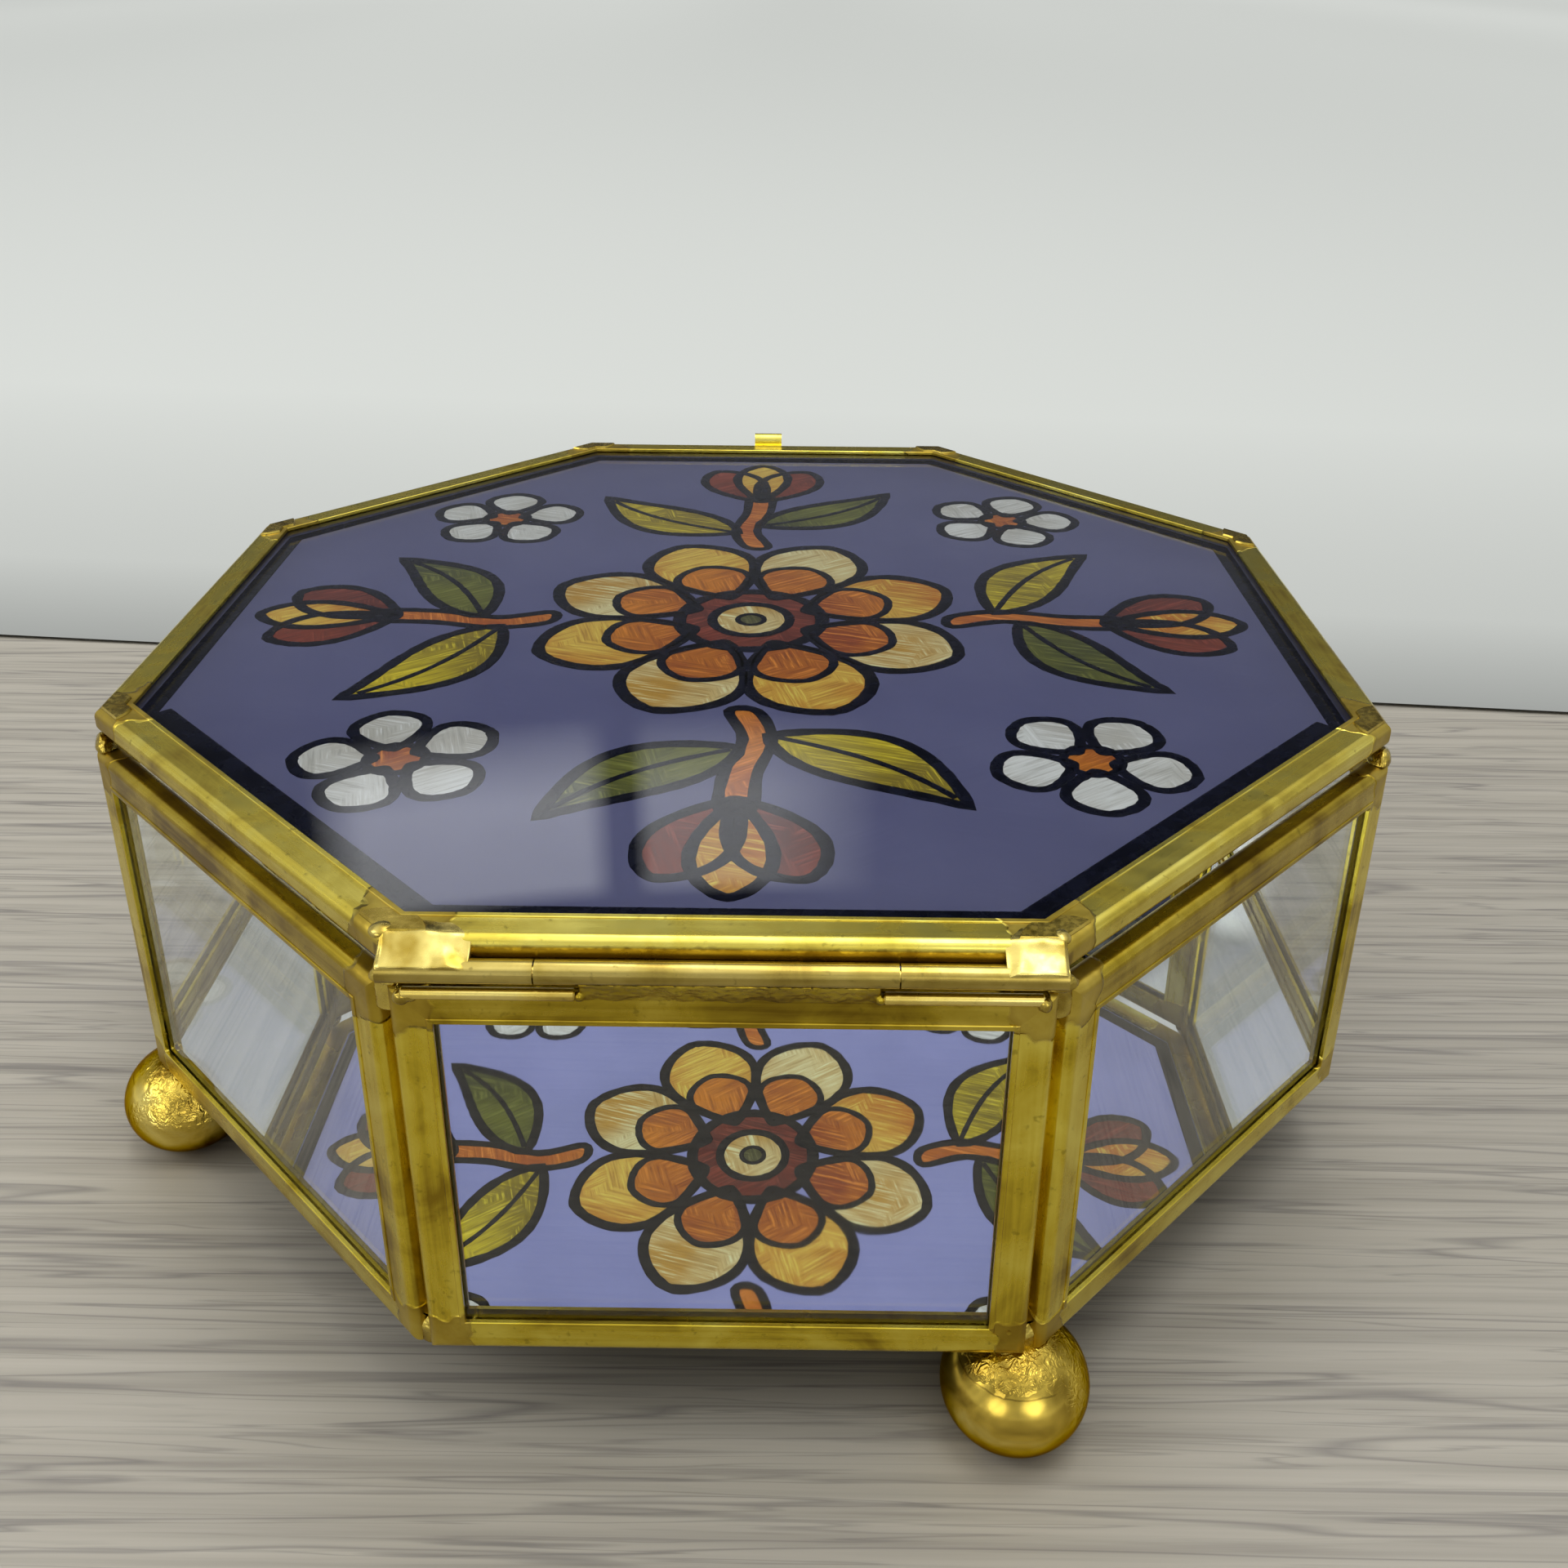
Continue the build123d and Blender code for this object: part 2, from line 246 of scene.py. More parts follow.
board_finish, tree = new_finish("pale_board")
grain = cloud(tree, stretched(tree, (9, 420, 1)), 1.0, detail=4.0)
grain_stops = [(0.28, srgb(158, 152, 140)), (0.5, srgb(180, 174, 160)), (0.72, srgb(190, 184, 170))]
board_colour = ramp(tree, grain, grain_stops)
fine_grain = cloud(tree, stretched(tree, (30, 900, 1)), 1.0, detail=5.0, distortion=0.4)
fine_share = span(tree, fine_grain, 0.56, 0.70, 0.0, 0.3)
board_colour = blended(tree, fine_share, board_colour, srgb(120, 114, 106))
line_reach = 0.022
for scale, share in (((5, 150, 1), 0.5), ((9, 330, 1), 0.35)):
    bands = cloud(tree, stretched(tree, scale, (3.1, 0, 0)), 1.0, detail=3.0, distortion=0.5)
    off_line = sum_of(tree, "ABSOLUTE", sum_of(tree, "SUBTRACT", bands, 0.5))
    line_share = span(tree, off_line, 0.0, line_reach, share, 0.0)
    board_colour = blended(tree, line_share, board_colour, srgb(104, 100, 98))
finish_with(tree, "BsdfPrincipled", {"Base Color": board_colour, "Roughness": 0.6})
flat_sheet("board", [(-30, -30, 0), (30, -30, 0), (30, 60, 0), (-30, 60, 0)], board_finish)

edge_y, edge_slope, cloth_height = 0.1125, 0.0885, 0.8 * mm
cloth_finish, tree = new_finish("white_cloth")
# Soft long bands of lighter and darker white stand for the light and shade of folds: painted shade.
painted_fold_shade = cloud(tree, stretched(tree, (0.8, 0.1, 1), (0, 0, 0.3)), 1.0, detail=1.0)
cloth_colour = ramp(tree, painted_fold_shade, [(0.3, srgb(216, 219, 214)), (0.7, srgb(228, 231, 226))])
cloth_x, cloth_y, _ = place_parts(tree)
# The cloth is darkened towards its lower edge, where it meets the board: painted shade.
from_edge = added(tree, cloth_y, times(tree, cloth_x, edge_slope))
near_shade = span(tree, from_edge, 0.11, 0.16, 0.5, 0.8)
shade = added(tree, near_shade, span(tree, from_edge, 0.16, 0.32, 0.0, 0.2))
cloth_colour = node(tree, "VectorMath", {0: cloth_colour, "Scale": shade}, operation="SCALE").outputs[0]
lit_cloth = node(tree, "BsdfPrincipled", {"Base Color": cloth_colour, "Roughness": 0.9}).outputs[0]
even_cloth = node(tree, "Emission", {"Color": cloth_colour, "Strength": 1.0}).outputs[0]
seen_directly = times(tree, node(tree, "LightPath").outputs["Is Camera Ray"], 0.6)
finish_with(tree, "MixShader", {0: seen_directly, 1: lit_cloth, 2: even_cloth})
left, right, far = -9, 9, 59
cloth_corners = [(x, edge_y - x * edge_slope) for x in (left, right)] + [(right, far), (left, far)]
flat_sheet("cloth", [(x, y, cloth_height) for x, y in cloth_corners], cloth_finish)
print("board and cloth laid")

# %% Sky and lamps
sky = bpy.data.worlds.new("sky")
bpy.context.scene.world = sky
sky.use_nodes = True
tree = sky.node_tree
tree.nodes.clear()
direction = node(tree, "TexCoord").outputs["Generated"]
sky_x, sky_y, height = node(tree, "SeparateXYZ", {"Vector": direction}).outputs
low_wall = span(tree, height, 0.02, 0.14, 0.40, 0.0)
ceiling = span(tree, height, 0.56, 0.85, 0.0, 0.95)
walls = span(tree, sky_y, -0.2, 0.3, 0.17, 0.02)
room = added(tree, added(tree, low_wall, ceiling), walls)

# Two windows behind the camera, by their bearing and height in degrees.
mirrored = 0.0
for heading, rise, glow in ((-122.0, 15.0, 2.6), (-68.0, 20.0, 2.5)):
    bearing, slope = math.radians(heading), math.radians(rise)
    towards = (math.cos(bearing) * math.cos(slope), math.sin(bearing) * math.cos(slope), math.sin(slope))
    facing = node(tree, "VectorMath", {0: direction, 1: towards}, operation="DOT_PRODUCT")
    pane = span(tree, facing.outputs["Value"], 0.955, 0.985, 0.0, glow)
    mirrored = added(tree, mirrored, pane)

# A window of two panes across the room, which the lid's glass reflects.
slant = sum_of(tree, "DIVIDE", sky_x, sum_of(tree, "MAXIMUM", sky_y, 0.01))
left_pane = between(tree, slant, (-0.37, -0.33), (-0.16, -0.14))
right_pane = between(tree, slant, (-0.125, -0.11), (-0.02, 0.06), 0.75)
window_band = between(tree, height, (0.455, 0.50), (0.545, 0.555), 2.2)
far_window = times(tree, window_band, added(tree, left_pane, right_pane))
mirrored = added(tree, mirrored, far_window)

# Pale walls to the left and right, which the mirror shows in the side panes.
for hand, edge, slope, base in ((-1, 0.33, 0.787, 0.818), (1, 0.20, 0.657, 0.709)):
    aside = times(tree, slant, hand)
    over_slope = added(tree, height, times(tree, aside, slope))
    above = span(tree, over_slope, base + 0.035, base + 0.06)
    pale_wall = times(tree, span(tree, aside, edge, edge + 0.03, 0.0, 0.5), above)
    mirrored = added(tree, mirrored, pale_wall)
far_wall = between(tree, height, (0.25, 0.29), (0.36, 0.45), 0.14)
mirrored = added(tree, mirrored, times(tree, far_wall, span(tree, sky_y, 0.0, 0.2)))

rays = node(tree, "LightPath").outputs
in_metal_or_glass = sum_of(tree, "MAXIMUM", rays["Is Glossy Ray"], rays["Is Transmission Ray"])
room = added(tree, room, times(tree, mirrored, in_metal_or_glass))
through_glass = times(tree, rays["Is Transmission Ray"], span(tree, height, 0.05, 0.25, 1.0, 0.0))
seen = sum_of(tree, "MAXIMUM", rays["Is Camera Ray"], through_glass)
room_light = node(tree, "Background", {"Color": (0.97, 0.98, 1.0, 1), "Strength": room}).outputs[0]
plain_light = node(tree, "Background", {"Color": (*srgb(218, 221, 217), 1), "Strength": 1.0}).outputs[0]
sky_mix = node(tree, "MixShader", {0: seen, 1: room_light, 2: plain_light}).outputs[0]
node(tree, "OutputWorld", {"Surface": sky_mix})


def soft_lamp(name, place_at, width, height, power):
    """A rectangular lamp aimed at the middle of the box."""
    light = bpy.data.lights.new(name, "AREA")
    light.shape = "RECTANGLE"
    light.size, light.size_y = width, height
    light.energy = power
    lamp = new_object(name, light)
    lamp.location = place_at
    box_middle = Vector((0, 0, 0.03))
    lamp.rotation_euler = (box_middle - Vector(place_at)).to_track_quat("-Z", "Y").to_euler()


soft_lamp("ceiling_lamp", (0.1, 0.03, 1.1), 0.9, 0.35, 3.6)
soft_lamp("window_lamp", (-0.9, -0.25, 0.75), 0.5, 0.6, 2.8)
print("sky and lamps lit")

# %% [markdown]
# ## Aged brass came
# Came is bent from thin brass sheet. It leaves the rollers bright, then darkens to an olive gold
# with paler rubbed streaks, and the heat of the iron leaves a dull brown patch at every mitre.
# The patches follow a simple rule: how far a point lies from the nearest corner, measured along
# its side. Wrapping the angle about the upright axis into one eighth of a turn gives that
# distance, and a little noise makes the edge of each patch wander. The same wrapped angle gives
# coordinates that run along each side, and stretching noise along them draws the streaks that
# the rollers left.

# %% Places along a side, as a node group
sides = 8
side_turn = math.radians(360 / sides)

along_side = bpy.data.node_groups.new("along_side", "ShaderNodeTree")
tree = along_side
spot_x, spot_y, _ = place_parts(tree)
heading = sum_of(tree, "ARCTAN2", spot_y, spot_x)
wrap = sum_of(tree, "WRAP", heading, side_turn / 2, -side_turn / 2)
side_number = sum_of(tree, "DIVIDE", sum_of(tree, "SUBTRACT", heading, wrap), side_turn)
flat_place = node(tree, "CombineXYZ", {"X": spot_x, "Y": spot_y, "Z": 0.0}).outputs[0]
from_axis = node(tree, "VectorMath", {0: flat_place}, operation="LENGTH").outputs["Value"]
along = times(tree, from_axis, sum_of(tree, "SINE", wrap))
across = times(tree, from_axis, sum_of(tree, "COSINE", wrap))
half_side = times(tree, across, math.tan(side_turn / 2))
to_corner = sum_of(tree, "SUBTRACT", half_side, sum_of(tree, "ABSOLUTE", along))
past_corner = times(tree, times(tree, sum_of(tree, "SIGN", along), to_corner), -1.0)
side_places = {
    "to_corner": to_corner,
    "past_corner": past_corner,
    "streak_x": added(tree, along, side_number),
    "streak_y": across,
}
for label in side_places:
    tree.interface.new_socket(label, in_out="OUTPUT", socket_type="NodeSocketFloat")
node(tree, "NodeGroupOutput", side_places)
print("side coordinates made")

# %% Brass finishes
def brass(name, light, mid, dark, patch=None, upright=False, roughness=(0.2, 0.34), groove_shade=None):
    """Aged brass, streaked lengthwise. patch is the heat mark: ("corner", reach), or
    ("height", low, high, reach). groove_shade is a place behind the hinge, as a Y and a Z, below
    which the brass is darkened: painted shade in the groove between the lid rail and the tube."""
    finish, tree = new_finish(name)
    where = place(tree)
    _, depth, level = place_parts(tree)
    side = node(tree, "Group", node_tree=along_side).outputs
    if upright:
        streak_place = stretched(tree, (900, 900, 26))
    else:
        inputs = {"X": side["streak_x"], "Y": side["streak_y"], "Z": level}
        side_place = node(tree, "CombineXYZ", inputs).outputs[0]
        streak_place = stretched(tree, (26, 900, 900), where=side_place)
    streaks = cloud(tree, streak_place, 1.0, detail=4.0, distortion=0.5)
    tarnish = cloud(tree, where, 90.0, detail=6.0, distortion=0.8)
    aged = added(tree, times(tree, streaks, 0.35), times(tree, tarnish, 0.65))
    colour = ramp(tree, aged, [(0.36, dark), (0.48, mid), (0.64, light)])
    speckle = cloud(tree, where, 1100.0, detail=2.0)
    colour = blended(tree, span(tree, speckle, 0.64, 0.74, 0.0, 0.5), colour, tuple(c * 0.4 for c in mid))
    rough = span(tree, aged, 0.38, 0.62, roughness[1], roughness[0])
    waves = cloud(tree, where, 110.0, detail=2.0)
    surface = bumped(tree, streaks, 0.006 * mm, bumped(tree, waves, 0.12 * mm))
    if patch:
        lumps = cloud(tree, where, 240.0, detail=2.0)
        wander = span(tree, lumps, 0.3, 0.7, -1.3 * mm, 1.3 * mm)
        if patch[0] == "corner":
            away, reach = side["to_corner"], patch[1]
        else:
            above_low = sum_of(tree, "SUBTRACT", level, patch[1])
            below_high = sum_of(tree, "SUBTRACT", patch[2], level)
            away, reach = sum_of(tree, "MINIMUM", above_low, below_high), patch[3]
        away = added(tree, away, wander)
        burnt = span(tree, away, reach - 0.2 * mm, reach + 0.2 * mm, 1.0, 0.0)
        patch_colour = ramp(tree, tarnish, burnt_stops)
        scorched = times(tree, burnt, span(tree, away, reach - 1.0 * mm, reach - 0.1 * mm))
        patch_colour = blended(tree, times(tree, scorched, 0.35), patch_colour, srgb(120, 92, 26))
        colour = blended(tree, times(tree, burnt, 0.85), colour, patch_colour)
        rough = sum_of(tree, "MAXIMUM", rough, times(tree, burnt, 0.38))
        surface = bumped(tree, burnt, 0.012 * mm, surface)
        surface = bumped(tree, times(tree, burnt, lumps), 0.25 * mm, surface)
    # Painted shade: the lid rail's outer face behind the hinge, below the bend, is darkened where it
    # meets the groove above the tube.
    if groove_shade:
        ragged_noise = cloud(tree, where, 900.0, detail=3.0)
        ragged = added(tree, level, span(tree, ragged_noise, 0.3, 0.7, -0.25 * mm, 0.25 * mm))
        behind = span(tree, depth, groove_shade[0], groove_shade[0] + 0.3 * mm, 0.7, 0.0)
        below = span(tree, ragged, groove_shade[1] - 0.15 * mm, groove_shade[1] + 0.15 * mm, 1.0, 0.0)
        colour = blended(tree, times(tree, behind, below), colour, srgb(104, 78, 22))
    inputs = {"Base Color": colour, "Metallic": 1.0, "Roughness": rough, "Normal": surface}
    finish_with(tree, "BsdfPrincipled", inputs)
    return finish


burnt_stops = [(0.34, srgb(142, 116, 34)), (0.5, srgb(170, 144, 52)), (0.68, srgb(194, 170, 78))]
patch_reach, lid_patch_reach = 4.6 * mm, 4.8 * mm
hinge_rail_low, hinge_rail_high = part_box("lid_rail_1")
# Where the painted shade in the groove above the hinge tube begins, as a Y and a Z.
behind_hinge = (hinge_rail_low[1] + 0.35 * mm, hinge_rail_high[2] - 1.05 * mm)
stile_low, stile_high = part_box("corner_stiles_1")
stile_patch = ("height", stile_low[2], stile_high[2], patch_reach)

came = (srgb(234, 216, 92), srgb(206, 182, 54), srgb(146, 120, 30))
# A darker copy of the came's colours for the top rail: painted shade under the lid's overhang.
shaded_came = (srgb(206, 184, 74), srgb(172, 148, 42), srgb(118, 94, 24))
lid_came = (srgb(236, 222, 112), srgb(210, 190, 74), srgb(152, 128, 42))
tube = (srgb(200, 180, 102), srgb(164, 143, 68), srgb(116, 93, 37))
wire = (srgb(240, 222, 140), srgb(220, 196, 100), srgb(180, 150, 64))
rail_brass = brass("rail_brass", *came, ("corner", patch_reach))
# The top rail's finish is the came darkened as painted shade.
shaded_rim_brass = brass("shaded_rim_brass", *shaded_came, ("corner", patch_reach))
lid_brass = brass("lid_brass", *lid_came, ("corner", lid_patch_reach), groove_shade=behind_hinge)
stile_brass = brass("stile_brass", *came, stile_patch, upright=True)
tube_brass = brass("tube_brass", *tube, roughness=(0.16, 0.3))
wire_brass = brass("wire_brass", *wire, roughness=(0.18, 0.3))
brasses = (rail_brass, shaded_rim_brass, lid_brass, stile_brass, tube_brass, wire_brass)
print("brass finishes", [finish.name for finish in brasses])

# %% [markdown]
# ## Solder, ball feet, glass and mirror
# Solder is paler and lumpier than the came, and dulled by flux. The feet are spun from thin
# brass and gilded: bright gold, browner towards the top, under the box, and towards the table,
# which is painted shade, with fine crumples above and on one side, and a hairline seam between.
# The panes are clear glass, and light must pass through them, so for shadow and diffuse rays the
# glass steps aside. The lid's paint clings to its underside, so only its top reflects. Two faces
# of a lower index reflect as much as one of real glass. The mirror is silvered glass with a faint
# haze, and its back is painted grey.

# %% Solder and feet
def solder(name, light, dark, lump_depth):
    """Cooled solder: lumps, pits and a stain in the hollows."""
    finish, tree = new_finish(name)
    where = place(tree)
    lumps = cloud(tree, where, 300.0, detail=2.0, distortion=0.3)
    pits = cloud(tree, where, 1600.0, detail=2.0)
    mid = tuple((a + b) / 2 for a, b in zip(light, dark))
    colour = ramp(tree, lumps, [(0.32, dark), (0.5, mid), (0.68, light)])
    surface = bumped(tree, pits, 0.006 * mm, bumped(tree, lumps, lump_depth))
    rough = span(tree, pits, 0.35, 0.65, 0.18, 0.32)
    inputs = {"Base Color": colour, "Metallic": 1.0, "Roughness": rough, "Normal": surface}
    finish_with(tree, "BsdfPrincipled", inputs)
    return finish


hinge_solder = solder("hinge_solder", srgb(228, 210, 122), srgb(156, 132, 52), 0.05 * mm)
corner_solder = solder("corner_solder", srgb(208, 186, 90), srgb(126, 102, 30), 0.07 * mm)
mitre_solder = solder("mitre_solder", srgb(194, 170, 78), srgb(146, 122, 38), 0.01 * mm)

foot_gold, tree = new_finish("foot_gold")
where = place(tree)
foot_low, foot_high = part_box("ball_foot_1")
foot_middle = (foot_low[2] + foot_high[2]) / 2
seam_level = foot_middle + 4.3 * mm
level = place_parts(tree)["Z"]
past_corner = node(tree, "Group", node_tree=along_side).outputs["past_corner"]
mottle = cloud(tree, where, 150.0, detail=3.0, distortion=0.8)
# The gold is browner towards the top, under the box, and towards the table: painted shade, over a random
# mottle.
painted_shade_and_mottle = added(tree, span(tree, level, foot_middle, foot_high[2], 0.0, 0.3), mottle)
painted_shade_and_mottle = added(tree, span(tree, level, foot_low[2], foot_middle, 0.5, 0.0), painted_shade_and_mottle)
foot_stops = [(0.36, srgb(236, 216, 124)), (0.62, srgb(208, 180, 76)), (0.92, srgb(104, 80, 20))]
colour = ramp(tree, painted_shade_and_mottle, foot_stops)
wander = span(tree, mottle, 0.3, 0.7, -1.0 * mm, 1.0 * mm)
above_seam = sum_of(tree, "SUBTRACT", level, seam_level)
off_seam = sum_of(tree, "ABSOLUTE", added(tree, above_seam, times(tree, wander, 0.15)))
seam = span(tree, off_seam, 0.03 * mm, 0.1 * mm, 0.5, 0.0)
seam = times(tree, seam, span(tree, past_corner, 0.5 * mm, 2.0 * mm, 1.0, 0.0))
colour = blended(tree, seam, colour, srgb(70, 50, 12))
upper = span(tree, added(tree, level, wander), seam_level + 0.5 * mm, seam_level + 1.1 * mm)
one_side = span(tree, added(tree, past_corner, wander), 2.8 * mm, 3.6 * mm)
above_middle = span(tree, level, foot_middle - 1.0 * mm, foot_middle + 1.0 * mm)
crumpled = sum_of(tree, "MAXIMUM", upper, times(tree, one_side, above_middle))
crumples = cloud(tree, where, 800.0, detail=2.5, roughness=0.6, distortion=1.5)
dimples = bumped(tree, cloud(tree, where, 110.0, detail=1.0), 0.1 * mm)
surface = bumped(tree, times(tree, crumples, crumpled), 0.2 * mm, dimples)
rough = span(tree, crumpled, 0.0, 1.0, 0.2, 0.15)
inputs = {"Base Color": colour, "Metallic": 1.0, "Roughness": rough, "Normal": surface}
inputs["Specular Tint"] = (*srgb(190, 160, 70), 1)
finish_with(tree, "BsdfPrincipled", inputs)
print("solder and foot finishes made")

# %% Glass and mirror
def clear_glass(name, tint, rough_high, bending):
    """Clear glass with faint smears, which lets the lamps through to what stands behind it."""
    finish, tree = new_finish(name)
    where = place(tree)
    smears = cloud(tree, stretched(tree, (30, 30, 90)), 2.0, detail=4.0, distortion=1.2)
    rough = span(tree, smears, 0.55, 0.8, 0.0, rough_high)
    ripple = bumped(tree, cloud(tree, where, 18.0, detail=1.0), 0.02 * mm)
    inputs = {"Base Color": (*tint, 1), "Roughness": rough, "IOR": bending}
    inputs |= {"Transmission Weight": 1.0, "Normal": ripple}
    glass = node(tree, "BsdfPrincipled", inputs).outputs[0]
    clear = node(tree, "BsdfTransparent", {"Color": (*tint, 1)}).outputs[0]
    rays = node(tree, "LightPath").outputs
    passing = sum_of(tree, "MAXIMUM", rays["Is Shadow Ray"], rays["Is Diffuse Ray"])
    finish_with(tree, "MixShader", {0: passing, 1: glass, 2: clear})
    return finish


pane_glass = clear_glass("pane_glass", srgb(248, 251, 249), 0.05, 1.5)
lid_glass = clear_glass("lid_glass", srgb(250, 252, 252), 0.02, 1.25)

silvering, tree = new_finish("silvering")
haze = cloud(tree, place(tree), 45.0, detail=5.0)
mirror_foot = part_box("base_mirror")[0][2]
level = place_parts(tree)["Z"]
painted_back = span(tree, level, mirror_foot + 0.02 * mm, mirror_foot + 0.04 * mm, 1.0, 0.0)
colour = ramp(tree, haze, [(0.35, srgb(226, 230, 228)), (0.7, srgb(238, 240, 239))])
back_colour = ramp(tree, haze, [(0.35, srgb(104, 104, 100)), (0.7, srgb(128, 127, 122))])
colour = blended(tree, painted_back, colour, back_colour)
rough = sum_of(tree, "MAXIMUM", span(tree, haze, 0.4, 0.8, 0.0, 0.04), times(tree, painted_back, 0.6))
metallic = span(tree, painted_back, 0.0, 1.0, 1.0, 0.0)
finish_with(tree, "BsdfPrincipled", {"Base Color": colour, "Metallic": metallic, "Roughness": rough})
print("glass and mirror made")

# %% Give every CAD node its finish
finishes = {
    "side_glass": pane_glass, "lid_glass": lid_glass, "base_mirror": silvering,
    "top_rail": shaded_rim_brass, "bottom_rail": rail_brass, "corner_stiles": stile_brass,
    "lid_rail": lid_brass, "lift_tab": lid_brass, "ball_foot": foot_gold,
    "left_knuckle": tube_brass, "middle_knuckle": tube_brass, "right_knuckle": tube_brass,
    "hinge_pin": wire_brass, "left_rest_wire": wire_brass, "right_rest_wire": wire_brass,
    "rim_solder": corner_solder, "base_solder": corner_solder,
    "lid_solder": mitre_solder, "lid_hinge_solder": hinge_solder,
}
for name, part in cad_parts.items():
    kind = name.rstrip("_0123456789")
    part.data.materials.clear()
    part.data.materials.append(finishes[kind])
print("finished", len(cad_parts), "nodes")

# %% [markdown]
# ## Melted solder
# A bead of solder has no edges: its own skin pulls it round, and it sags and pits as it cools.
# The drawn beads are clean cylinders and balls. Each is copied and wrapped in a fine even skin
# by a voxel remesh, which also joins the small drops added here. Smoothing melts its edges, the
# part outside the corner is drawn back into the groove, as the iron leaves it, and noise
# pushes the skin about. The web under the middle tube was wiped smooth, so it wears the top
# rail's finish, whose darker colour is painted shade under the lid.

# %% Melted copies of the drawn beads
hinge_heading = -90.0
corner_headings = [math.radians(hinge_heading + 360 / sides * (k + 0.5)) for k in range(sides)]
wall_corner = 80.6 * mm
web_reach, web_front = 14.6 * mm, -70 * mm


def evaluated_mesh(source):
    """The mesh that an object's modifiers make of it."""
    bpy.context.view_layer.update()
    depsgraph = bpy.context.evaluated_depsgraph_get()
    return bpy.data.meshes.new_from_object(source.evaluated_get(depsgraph))


def drawn_back(place_at, keep, drops):
    """A point outside the walls' corners, brought nearer to them, unless it belongs to a drop."""
    if any((place_at - centre).length < radius * 1.2 for centre, radius in drops):
        return place_at
    for heading in corner_headings:
        out = Vector((math.cos(heading), math.sin(heading), 0))
        reach = place_at.dot(out)
        if reach > wall_corner:
            return place_at - out * (reach - wall_corner) * (1 - keep)
    return place_at


def melted(name, drops, rounds, lump, keep, finish, proud_drops=()):
    """A smooth and lumpy piece that stands for a CAD node of solder. drops are (centre, radius),
    and proud_drops are the ones that aren't drawn back."""
    shell = bmesh.new()
    shell.from_mesh(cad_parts[name].data)
    bmesh.ops.remove_doubles(shell, verts=shell.verts, dist=1e-6)
    for centre, radius in drops:
        centred = Matrix.Translation(centre)
        bmesh.ops.create_icosphere(shell, subdivisions=3, radius=radius, matrix=centred)
    mesh = bpy.data.meshes.new(name + "_shell")
    shell.to_mesh(mesh)
    shell.free()
    source = new_object(name + "_shell", mesh)
    skin = source.modifiers.new("skin", "REMESH")
    skin.mode, skin.voxel_size = "VOXEL", 0.12 * mm
    smooth = source.modifiers.new("smooth", "SMOOTH")
    smooth.factor, smooth.iterations = 0.5, rounds
    mesh = evaluated_mesh(source)
    bpy.data.objects.remove(source)
    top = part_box(name)[1][2]
    outward = [vertex.normal.copy() for vertex in mesh.vertices]
    for vertex, normal in zip(mesh.vertices, outward):
        unevenness = noise.noise(vertex.co * 700) + 0.5 * noise.noise(vertex.co * 1900)
        moved = drawn_back(vertex.co + normal * lump * unevenness, keep, proud_drops)
        moved.z = min(moved.z, top)
        vertex.co = moved
    mesh.materials.clear()
    mesh.materials.append(finish)
    # The web under the middle tube wears the top rail's finish, darkened as painted shade.
    mesh.materials.append(shaded_rim_brass)
    for face in mesh.polygons:
        face.use_smooth = True
        face.material_index = int(abs(face.center.x) < web_reach and face.center.y < web_front)
    piece = new_object(name + "_melted", mesh)
    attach(piece, "body")
    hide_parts(name)
    print(piece.name, len(mesh.polygons), "faces")


wire_low, wire_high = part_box("left_rest_wire")
other_low, other_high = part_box("right_rest_wire")
wire_level = Vector((0, (wire_low[1] + wire_high[1]) / 2, (wire_low[2] + wire_high[2]) / 2))
drop_top = 0.4
wire_drops = []
for x, radius in (
    (wire_low[0], 0.8), (wire_low[0] + 0.9 * mm, 0.65), (wire_high[0] + 0.3 * mm, 0.55),
    (other_low[0] - 0.3 * mm, 0.55), (other_high[0], 0.8),
):
    wire_drops.append((wire_level + Vector((x, 0, (drop_top - radius) * mm)), radius * mm))
melted("rim_solder", wire_drops, 6, 0.16 * mm, 0.5, corner_solder, wire_drops)

wall_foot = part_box("side_glass_1")[0][2] - 1.0 * mm
groove_drop = 0.5 * mm
groove_drops = []
for k, heading in enumerate(corner_headings):
    out = Vector((math.cos(heading), math.sin(heading), 0))
    drop_level = wall_foot + (4.7 + 0.5 * (k % 3)) * mm
    groove_drops.append((out * (wall_corner + groove_drop) + Vector((0, 0, drop_level)), groove_drop))
melted("base_solder", groove_drops, 10, 0.14 * mm, 0.3, corner_solder)

# %% [markdown]
# ## Solder over the hinge
# At each end of the hinge the solder runs from the tube up over the rail's bend and ends in a
# thin ragged tongue on the rail's top. It is a strip with a rounded section, carried along the
# hinge. The section follows the tube, a straight run that touches both, the bend, and the
# top, and its thickness fades to nothing at every edge. A round drop sits on each outer corner,
# and a bubble has left a pit beside the left one.

# %% Tongues of solder on the hinge's ends
tube_low, tube_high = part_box("left_knuckle")
tube_middle = ((tube_low[1] + tube_high[1]) / 2, (tube_low[2] + tube_high[2]) / 2)
tube_radius, bend_radius = (tube_high[2] - tube_low[2]) / 2, 1.0 * mm
bend_middle = (hinge_rail_low[1] + bend_radius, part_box("lid_glass")[1][2] + 0.5 * mm - bend_radius)
run = (bend_middle[0] - tube_middle[0], bend_middle[1] - tube_middle[1])
run_length = math.hypot(*run)
touch = math.atan2(run[1], run[0]) + math.acos((tube_radius - bend_radius) / run_length)


def on_arc(middle, radius, angle):
    """The point (y, z) at an angle on a circle."""
    return middle[0] + radius * math.cos(angle), middle[1] + radius * math.sin(angle)


